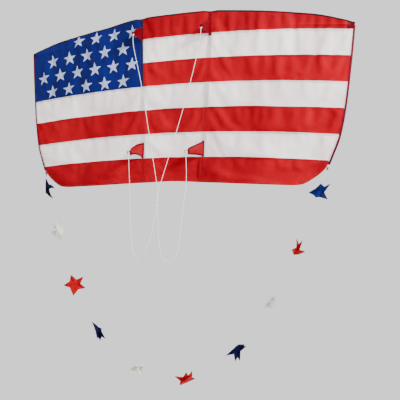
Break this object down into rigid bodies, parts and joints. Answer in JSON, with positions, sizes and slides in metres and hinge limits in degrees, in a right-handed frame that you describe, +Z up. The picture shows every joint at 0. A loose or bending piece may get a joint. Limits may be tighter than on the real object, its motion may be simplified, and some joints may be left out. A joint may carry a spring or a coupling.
{
  "type": "bowed stripe kite",
  "caption": "Wide bowed single-surface kite with a striped sail and star canton, two spines, keel fins, a slack cord bridle and a hanging loop tail of cloth stars, for flying on a line.",
  "frame": {"origin": "on the cross spar's axis, in the middle of the ferrule that joins the spar halves", "axes": "+X along the wing span to the viewer's right when the sail's front is faced, -Y out of the sail's front on the bridle side, +Z up towards the leading edge"},
  "size_m": [1.6046, 0.1654, 1.6851],
  "materials": {
    "ripstop_blue": "thin ripstop nylon, satin",
    "applique_pale": "thin ripstop nylon sewn on top, satin",
    "ripstop_red": "thin ripstop nylon, satin",
    "ripstop_white": "thin ripstop nylon, slightly translucent",
    "hem_dark": "folded hem tape, matte",
    "carbon_rod": "pultruded fibre rod, satin",
    "glass_rod": "pultruded glass-fibre rod, satin",
    "ferrule_metal": "drawn tube, satin",
    "sleeve_tape": "sewn sleeve tape, matte",
    "sleeve_maroon": "sewn rod sleeve, matte",
    "pocket_dark": "heavy woven webbing, matte",
    "tie_black": "sewn tie strap, matte",
    "cap_black": "moulded cap, matte",
    "keel_red": "doubled ripstop nylon, satin",
    "keel_tape": "folded loop tape, matte",
    "bridle_cord": "braided line, matte",
    "tail_line": "thin braided line, matte",
    "star_blue": "thin nylon cloth, satin",
    "star_red": "thin nylon cloth, satin",
    "star_white": "thin nylon cloth, satin"
  },
  "bodies": {
    "kite": {"canton_blue": "ripstop_blue", "canton_stars": "applique_pale", "stripe_1_red": "ripstop_red", "stripe_2_white": "ripstop_white", "stripe_3_red": "ripstop_red", "stripe_4_white": "ripstop_white", "stripe_5_red": "ripstop_red", "stripe_6_white": "ripstop_white", "stripe_7_red": "ripstop_red", "leading_hem": "hem_dark", "trailing_hem": "ripstop_red", "cross_spar_left": "carbon_rod", "cross_spar_right": "carbon_rod", "spar_ferrule": "ferrule_metal", "spine_left": "carbon_rod", "spine_right": "carbon_rod", "spine_sleeve_left": "sleeve_tape", "spine_sleeve_right": "sleeve_tape", "spine_pocket_top_left": "pocket_dark", "spine_pocket_top_right": "pocket_dark", "spine_pocket_foot_left": "pocket_dark", "spine_pocket_foot_right": "pocket_dark", "spar_tie_left": "tie_black", "spar_tie_right": "tie_black", "side_rod_left": "glass_rod", "side_rod_right": "glass_rod", "side_sleeve_left": "sleeve_maroon", "side_sleeve_right": "sleeve_maroon", "rod_cap_left": "cap_black", "rod_cap_right": "cap_black", "wing_pocket_left": "pocket_dark", "wing_pocket_right": "pocket_dark", "keel_seam_tapes": "keel_tape", "bridle_upper_left": "bridle_cord", "bridle_upper_right": "bridle_cord", "bridle_lower_left": "bridle_cord", "bridle_lower_right": "bridle_cord", "tow_knot": "bridle_cord"},
    "tail": {"tail_cord": "tail_line", "tail_star_1": "star_blue", "tail_star_2": "star_white", "tail_star_3": "star_red", "tail_star_4": "star_blue", "tail_star_5": "star_white", "tail_star_6": "star_red", "tail_star_7": "star_blue", "tail_star_8": "star_white", "tail_star_9": "star_red", "tail_star_10": "star_blue"},
    "keel_upper_left": {"keel_upper_left": "keel_red", "keel_loop_upper_left": "keel_tape"},
    "keel_upper_right": {"keel_upper_right": "keel_red", "keel_loop_upper_right": "keel_tape"},
    "keel_lower_left": {"keel_lower_left": "keel_red", "keel_loop_lower_left": "keel_tape"},
    "keel_lower_right": {"keel_lower_right": "keel_red", "keel_loop_lower_right": "keel_tape"}
  },
  "joints": [
    {"name": "keel_upper_left_hinge", "type": "hinge", "parent": "kite", "child": "keel_upper_left", "pos_m": [-0.16896, -0.01002, 0.0055], "axis": [0, 0, 1], "range_deg": [-55, 55]},
    {"name": "keel_upper_right_hinge", "type": "hinge", "parent": "kite", "child": "keel_upper_right", "pos_m": [0.16896, -0.01002, 0.0055], "axis": [0, 0, 1], "range_deg": [-55, 55]},
    {"name": "keel_lower_left_hinge", "type": "hinge", "parent": "kite", "child": "keel_lower_left", "pos_m": [-0.1478, -0.01042, -0.5405], "axis": [0, 0, 1], "range_deg": [-45, 60]},
    {"name": "keel_lower_right_hinge", "type": "hinge", "parent": "kite", "child": "keel_lower_right", "pos_m": [0.1478, -0.01042, -0.5405], "axis": [0, 0, 1], "range_deg": [-28, 70]},
    {"name": "tail_swing", "type": "hinge", "parent": "kite", "child": "tail", "pos_m": [0, 0.02234, -0.64384], "axis": [1, 0, 0], "range_deg": [-60, 60]}
  ]
}
